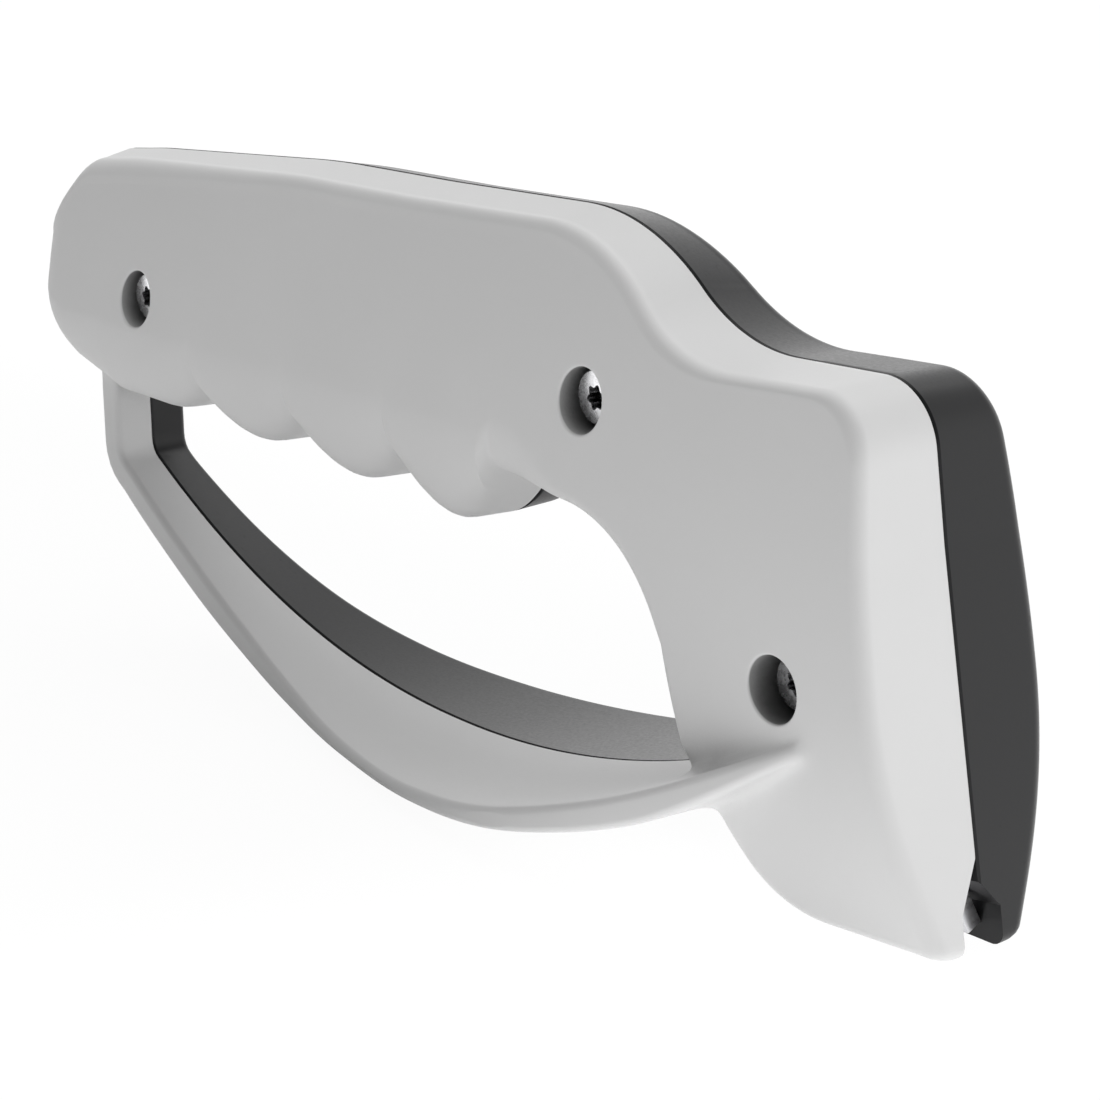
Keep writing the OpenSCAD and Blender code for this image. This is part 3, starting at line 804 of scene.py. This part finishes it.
    # Shank with a point, and the thread swept along a spiral that fades at both ends.
    shank_r = node(tree, "ShaderNodeMath", [(0, given["Shank Diameter"]), (1, 0.5)], operation="MULTIPLY")
    straight = node(tree, "ShaderNodeMath", [(0, given["Shank Length"]), (1, pitch)], operation="SUBTRACT")
    shank = node(tree, "GeometryNodeMeshCylinder", [("Vertices", 32), ("Radius", shank_r),
                                                    ("Depth", straight)])
    half_shank = node(tree, "ShaderNodeMath", [(0, straight), (1, 0.5)], operation="MULTIPLY")
    shank_z = node(tree, "ShaderNodeMath", [(0, head_h), (1, half_shank)], operation="ADD")
    shank_mid = node(tree, "ShaderNodeCombineXYZ", [("Z", shank_z)])
    shank = node(tree, "GeometryNodeTransform", [("Geometry", shank), ("Translation", shank_mid)])
    point = node(tree, "GeometryNodeMeshCone", [("Vertices", 32), ("Radius Top", 0.0),
                                                ("Radius Bottom", shank_r), ("Depth", pitch)])
    point_z = node(tree, "ShaderNodeMath", [(0, head_h), (1, straight)], operation="ADD")
    point_at = node(tree, "ShaderNodeCombineXYZ", [("Z", point_z)])
    point = node(tree, "GeometryNodeTransform", [("Geometry", point), ("Translation", point_at)])
    bare = node(tree, "ShaderNodeMath", [(0, pitch), (1, 3.0)], operation="MULTIPLY")
    thread_l = node(tree, "ShaderNodeMath", [(0, given["Shank Length"]), (1, bare)], operation="SUBTRACT")
    turns = node(tree, "ShaderNodeMath", [(0, thread_l), (1, pitch)], operation="DIVIDE")
    coil = node(tree, "GeometryNodeCurveSpiral", [("Resolution", 40), ("Rotations", turns),
                                                  ("Start Radius", shank_r), ("End Radius", shank_r),
                                                  ("Height", thread_l)])
    along = node(tree, "GeometryNodeSplineParameter").outputs["Factor"]
    to_end = node(tree, "ShaderNodeMath", [(0, 1.0), (1, along)], operation="SUBTRACT")
    from_ends = node(tree, "ShaderNodeMath", [(0, along), (1, to_end)], operation="MINIMUM")
    growing = node(tree, "ShaderNodeMath", [(0, from_ends), (1, 12.0)], operation="MULTIPLY")
    fade = node(tree, "ShaderNodeMath", [(0, growing), (1, 1.0)], operation="MINIMUM")
    coil = node(tree, "GeometryNodeSetCurveRadius", [("Curve", coil), ("Radius", fade)])
    crest = node(tree, "GeometryNodeCurvePrimitiveCircle", [("Resolution", 4),
                                                            ("Radius", given["Thread Depth"])])
    thread = node(tree, "GeometryNodeCurveToMesh", [("Curve", coil), ("Profile Curve", crest),
                                                    ("Scale", fade), ("Fill Caps", True)])
    thread_z = node(tree, "ShaderNodeMath", [(0, head_h), (1, pitch)], operation="ADD")
    thread_at = node(tree, "ShaderNodeCombineXYZ", [("Z", thread_z)])
    thread = node(tree, "GeometryNodeTransform", [("Geometry", thread), ("Translation", thread_at)])

    whole = node(tree, "GeometryNodeJoinGeometry", [(0, hollowed), (0, shank), (0, point), (0, thread)])
    seated = node(tree, "GeometryNodeTransform", [("Geometry", whole), ("Translation", given["Place"]),
                                                  ("Rotation", given["Turn"])])
    real = node(tree, "GeometryNodeRealizeInstances", [("Geometry", seated)])
    coated = node(tree, "GeometryNodeSetMaterial", [("Geometry", real), ("Material", given["Finish"])])
    node(tree, "NodeGroupOutput", [(0, coated)])
    return tree


def screw(name, tree, share, sink, finish, spin):
    """One screw, head outwards at the bottom of its counterbore."""
    holder = bpy.data.objects.new(name, bpy.data.meshes.new(name))
    bpy.context.scene.collection.objects.link(holder)
    step = holder.modifiers.new("screw", "NODES")
    step.node_group = tree
    seat = ((share[0] * BODY_L - mid_x) * MM, (side_y(share) + sink) * MM, share[1] * BODY_H * MM)
    wanted = {"Place": seat, "Turn": (-math.pi / 2, math.radians(spin), 0.0), "Finish": finish}
    for item in tree.interface.items_tree:
        if item.in_out == "INPUT" and item.name in wanted:
            step[item.identifier] = wanted[item.name]
    holder.update_tag()
    graph = bpy.context.evaluated_depsgraph_get()
    result = bpy.data.meshes.new_from_object(holder.evaluated_get(graph))
    holder.modifiers.clear()
    holder.data = result
    finish_mesh(holder, METAL_ANGLE)
    return holder


def carbide_insert(name, rear):
    """A ground carbide bar with honed edges."""
    bar = insert_shape(name, 0, rear)
    hone = bar.modifiers.new("hone", "BEVEL")
    hone.width = HONE_W * MM
    hone.segments = 2
    graph = bpy.context.evaluated_depsgraph_get()
    result = bpy.data.meshes.new_from_object(bar.evaluated_get(graph))
    bar.modifiers.clear()
    bar.data = result
    finish_mesh(bar, METAL_ANGLE)
    return bar


def linear(hex_colour):
    """An sRGB hex colour as the linear values that a shader takes."""
    parts = [int(hex_colour[k:k + 2], 16) / 255 for k in (1, 3, 5)]
    return tuple(p / 12.92 if p <= 0.04045 else ((p + 0.055) / 1.055) ** 2.4 for p in parts) + (1.0,)


def new_material(name, colour):
    """A material with its plain colour set, which stays its colour wherever the pattern isn't read."""
    material = bpy.data.materials.new(name)
    material.use_nodes = True
    tree = material.node_tree
    skin = tree.nodes["Principled BSDF"]
    skin.inputs["Base Color"].default_value = linear(colour)
    return material, tree, skin


def moulded_abs(name, colour, worn_colour, ior, roughness, scuffs):
    """ABS moulded against a finely spark-eroded tool: an even satin skin with a faint grain.

    The grain of such a tool is near 0.1 mm and is drawn at 0.35 mm, so that it shows.
    """
    material, tree, skin = new_material(name, colour)
    skin.inputs["IOR"].default_value = ior
    place = node(tree, "ShaderNodeTexCoord").outputs["Object"]
    cloud = node(tree, "ShaderNodeTexNoise", [("Vector", place), ("Scale", 1 / (22 * MM)), ("Detail", 3.0)])
    tint = node(tree, "ShaderNodeMix", [("Factor", cloud), (6, linear(colour)), (7, linear(worn_colour))],
                data_type="RGBA").outputs[2]
    # Painted shade: the skin's colour is darkened where little of the room is in reach, in narrow recesses
    # such as the bores.
    reach = node(tree, "ShaderNodeAmbientOcclusion", [("Distance", 8 * MM)], samples=8,
                 only_local=True).outputs["AO"]
    painted_shade = node(tree, "ShaderNodeMapRange", [("Value", reach), ("From Min", 0.3), ("From Max", 0.72),
                                              ("To Min", 0.12), ("To Max", 1.0)])
    shade_painted_colour = node(tree, "ShaderNodeVectorMath", [(0, tint), ("Scale", painted_shade)], operation="SCALE")
    tree.links.new(shade_painted_colour.outputs[0], skin.inputs["Base Color"])
    grain = node(tree, "ShaderNodeTexNoise", [("Vector", place), ("Scale", 1 / (0.35 * MM)),
                                              ("Detail", 4.0), ("Roughness", 0.65)])
    sheen = node(tree, "ShaderNodeMapRange", [("Value", grain), ("From Min", 0.3), ("From Max", 0.7),
                                              ("To Min", roughness - 0.05), ("To Max", roughness + 0.05)])
    # Long faint marks from handling, each a fraction of a millimetre wide, where a cloud lets them show.
    along = node(tree, "ShaderNodeMapping", [("Vector", place), ("Rotation", (0, 0, math.radians(38))),
                                             ("Scale", (0.05, 1.0, 1.0))])
    mark = node(tree, "ShaderNodeTexNoise", [("Vector", along), ("Scale", 1 / (0.9 * MM)), ("Detail", 2.0)])
    line = node(tree, "ShaderNodeMapRange", [("Value", mark), ("From Min", 0.68), ("From Max", 0.78)])
    patch = node(tree, "ShaderNodeMapRange", [("Value", cloud), ("From Min", 0.5), ("From Max", 0.62)])
    worn = node(tree, "ShaderNodeMath", [(0, line), (1, patch)], operation="MULTIPLY")
    scuffed = node(tree, "ShaderNodeMath", [(0, worn), (1, scuffs), (2, sheen)], operation="MULTIPLY_ADD")
    tree.links.new(scuffed.outputs[0], skin.inputs["Roughness"])
    bump = node(tree, "ShaderNodeBump", [("Strength", 0.12), ("Distance", 0.03 * MM), ("Height", grain)])
    tree.links.new(bump.outputs[0], skin.inputs["Normal"])
    return material


def zinc_plated_steel():
    """Cold-headed steel with bright zinc: sharp highlights, with fine marks left by the driver."""
    plating = "#e4e4e6"
    material, tree, skin = new_material("zinc_plated_steel", plating)
    skin.inputs["Metallic"].default_value = 1.0
    # Painted shade: the metal's colour is darkened in the recess, where little of the room is in reach.
    reach = node(tree, "ShaderNodeAmbientOcclusion", [("Distance", 1.2 * MM)], samples=8,
                 only_local=True).outputs["AO"]
    depth = node(tree, "ShaderNodeMapRange", [("Value", reach), ("From Min", 0.45), ("From Max", 0.95),
                                              ("To Min", 0.06), ("To Max", 1.0)])
    shade_painted_colour = node(tree, "ShaderNodeVectorMath", [(0, linear(plating)[:3]), ("Scale", depth)],
                  operation="SCALE")
    tree.links.new(shade_painted_colour.outputs[0], skin.inputs["Base Color"])
    place = node(tree, "ShaderNodeTexCoord").outputs["Object"]
    mottle = node(tree, "ShaderNodeTexNoise", [("Vector", place), ("Scale", 1 / (0.5 * MM)),
                                               ("Detail", 5.0)])
    rough = node(tree, "ShaderNodeMapRange", [("Value", mottle), ("From Min", 0.3), ("From Max", 0.7),
                                              ("To Min", 0.2), ("To Max", 0.34)])
    tree.links.new(rough.outputs[0], skin.inputs["Roughness"])
    bump = node(tree, "ShaderNodeBump", [("Strength", 0.15), ("Distance", 0.05 * MM), ("Height", mottle)])
    tree.links.new(bump.outputs[0], skin.inputs["Normal"])
    return material


def ground_carbide():
    """Tungsten carbide ground flat with a diamond wheel: grey metal with fine parallel lines."""
    material, tree, skin = new_material("ground_carbide", "#d2d2d4")
    skin.inputs["Metallic"].default_value = 1.0
    place = node(tree, "ShaderNodeTexCoord").outputs["Object"]
    across = node(tree, "ShaderNodeMapping", [("Vector", place), ("Scale", (0.06, 0.06, 1.0))])
    lines = node(tree, "ShaderNodeTexNoise", [("Vector", across), ("Scale", 1 / (0.12 * MM)),
                                              ("Detail", 3.0)])
    rough = node(tree, "ShaderNodeMapRange", [("Value", lines), ("From Min", 0.3), ("From Max", 0.7),
                                              ("To Min", 0.26), ("To Max", 0.44)])
    tree.links.new(rough.outputs[0], skin.inputs["Roughness"])
    bump = node(tree, "ShaderNodeBump", [("Strength", 0.3), ("Distance", 0.02 * MM), ("Height", lines)])
    tree.links.new(bump.outputs[0], skin.inputs["Normal"])
    return material


def dress(obj, material, slot, *nodes):
    """Gives a finished piece its material and its body, and hides the frame nodes that it stands for; slot
    is not used.
    """
    obj.data.materials.clear()
    obj.data.materials.append(material)
    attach(obj, "root")
    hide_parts(*nodes)


def build_sharpener():
    """The two casings, made from one blank and its twin, then the screws and the inserts."""
    light = moulded_abs("light_abs", "#d9d9d9", "#d4d4d4", 1.5, 0.5, 0.12)
    dark = moulded_abs("dark_abs", "#19191a", "#18181a", 1.37, 0.34, 0.2)
    steel = zinc_plated_steel()
    carbide = ground_carbide()
    blank = casing_blank()
    twin = blank.copy()
    twin.data = blank.data.copy()
    bpy.context.scene.collection.objects.link(twin)
    dress(light_casing(blank), light, "light_plastic", "light_casing")
    dress(dark_casing(twin), dark, "dark_plastic", "dark_casing")
    tree = screw_tree()
    for spin, (name, (share, sink)) in zip(SCREW_SPINS, SCREWS.items()):
        dress(screw(name + "_steel", tree, share, sink, steel, spin), steel, "screw_steel", name)
    dress(carbide_insert("front_insert_bar", False), carbide, "carbide", "front_insert")
    dress(carbide_insert("rear_insert_bar", True), carbide, "carbide", "rear_insert")


def area_lamp(name, place, aim, size, power):
    """A soft lamp; places and sizes are in metres, and power is in watts."""
    data = bpy.data.lights.new(name, "AREA")
    data.shape = "RECTANGLE"
    data.size, data.size_y = size
    data.energy = power
    lamp = bpy.data.objects.new(name, data)
    lamp.location = place
    lamp.rotation_euler = (Vector(aim) - Vector(place)).to_track_quat("-Z", "Y").to_euler()
    bpy.context.scene.collection.objects.link(lamp)


def fresh_tree(owner):
    """The empty node tree of a world or a material."""
    owner.use_nodes = True
    owner.node_tree.nodes.clear()
    return owner.node_tree


def studio_room():
    """White behind the object for the camera; to the object a bright far side and a dim near one."""
    world = bpy.data.worlds.new("studio")
    bpy.context.scene.world = world
    tree = fresh_tree(world)
    white = linear("#ffffff")
    for_camera = node(tree, "ShaderNodeLightPath").outputs["Is Camera Ray"]
    towards = node(tree, "ShaderNodeTexCoord").outputs["Generated"]
    split = node(tree, "ShaderNodeSeparateXYZ", [(0, towards)]).outputs
    far_level = node(tree, "ShaderNodeMapRange", [("Value", split["Z"]), ("From Min", 0.2),
                                                  ("From Max", 0.7), ("To Min", 1.35), ("To Max", 0.7)],
                     interpolation_type="SMOOTHSTEP")
    level = node(tree, "ShaderNodeMapRange", [("Value", split["Y"]), ("From Min", -0.4), ("From Max", 0.5),
                                              ("To Min", 0.17), ("To Max", far_level)],
                 interpolation_type="SMOOTHSTEP")
    room = node(tree, "ShaderNodeBackground", [("Color", white), ("Strength", level)])
    plain = node(tree, "ShaderNodeBackground", [("Color", white), ("Strength", 1.0)])
    mixed = node(tree, "ShaderNodeMixShader", [(0, for_camera), (1, room), (2, plain)])
    node(tree, "ShaderNodeOutputWorld", [(0, mixed)])


def white_paper():
    """Pale paper whose own glow lights the object, dimmest under the handle; the camera sees it near white.
    """
    paper = bpy.data.materials.new("white_paper")
    tree = fresh_tree(paper)
    white = linear("#ffffff")
    for_camera = node(tree, "ShaderNodeLightPath").outputs["Is Camera Ray"]
    camera_share = node(tree, "ShaderNodeMath", [(0, for_camera), (1, 0.95)], operation="MULTIPLY")
    place = node(tree, "ShaderNodeTexCoord").outputs["Object"]
    split = node(tree, "ShaderNodeSeparateXYZ", [(0, place)]).outputs
    off_axis = node(tree, "ShaderNodeMath", [(0, split["Y"])], operation="ABSOLUTE")
    ahead = node(tree, "ShaderNodeMapRange", [("Value", split["X"]), ("From Min", 0.0), ("From Max", 0.05),
                                              ("To Min", 0.0), ("To Max", 0.75)],
                 interpolation_type="SMOOTHSTEP")
    glow_at = node(tree, "ShaderNodeMapRange", [("Value", off_axis), ("From Min", 0.03), ("From Max", 0.1),
                                                ("To Min", ahead), ("To Max", 0.62)],
                   interpolation_type="SMOOTHSTEP")
    lit = node(tree, "ShaderNodeBsdfDiffuse", [("Color", linear("#ececec"))])
    backlight = node(tree, "ShaderNodeEmission", [("Color", white), ("Strength", glow_at)])
    sheet = node(tree, "ShaderNodeAddShader", [(0, lit), (1, backlight)])
    plain = node(tree, "ShaderNodeEmission", [("Color", white), ("Strength", 1.0)])
    mixed = node(tree, "ShaderNodeMixShader", [(0, camera_share), (1, sheet), (2, plain)])
    node(tree, "ShaderNodeOutputMaterial", [(0, mixed)])
    return paper


def studio_floor():
    """The sheet of paper that the object stands on, in metres."""
    half_side = 3.0
    below_object = 0.0002
    corners = [(x * half_side, y * half_side, 0) for x, y in ((-1, -1), (1, -1), (1, 1), (-1, 1))]
    mesh = bpy.data.meshes.new("floor")
    mesh.from_pydata(corners, [], [(0, 1, 2, 3)])
    floor = bpy.data.objects.new("floor", mesh)
    floor.location.z = cad_low.z - below_object
    bpy.context.scene.collection.objects.link(floor)
    floor.data.materials.append(white_paper())


def studio():
    """A bright sweep under soft light from above, with a dim room on the camera's side."""
    bpy.context.scene.view_settings.view_transform = "Standard"
    studio_room()
    studio_floor()
    area_lamp("overhead_softbox", (-0.12, 0.15, 0.75), (0, 0, 0.02), (0.8, 0.8), 3.4)
    area_lamp("front_softbox", (0.75, 0.0, 0.3), (0, 0, 0.03), (0.5, 0.5), 0.5)


def photo_camera():
    """The photograph's camera: its place and turn were found from the object's outline."""
    data = bpy.data.cameras.new("photo_camera")
    data.sensor_width = 36.0
    data.lens = 103.25
    data.clip_start = 0.01
    camera = bpy.data.objects.new("photo_camera", data)
    bpy.context.scene.collection.objects.link(camera)
    right = Vector((0.6169, 0.7869, -0.0175)).normalized()
    down = Vector((0.2012, -0.1791, -0.9630))
    up = -(down - right * down.dot(right)).normalized()
    turned = Matrix((right, up, right.cross(up))).transposed()
    place = Vector((320.96 - mid_x, -181.73, 106.17)) * MM
    camera.matrix_world = Matrix.Translation(place) @ turned.to_4x4()
    bpy.context.scene.camera = camera


photo_camera()
studio()
build_sharpener()
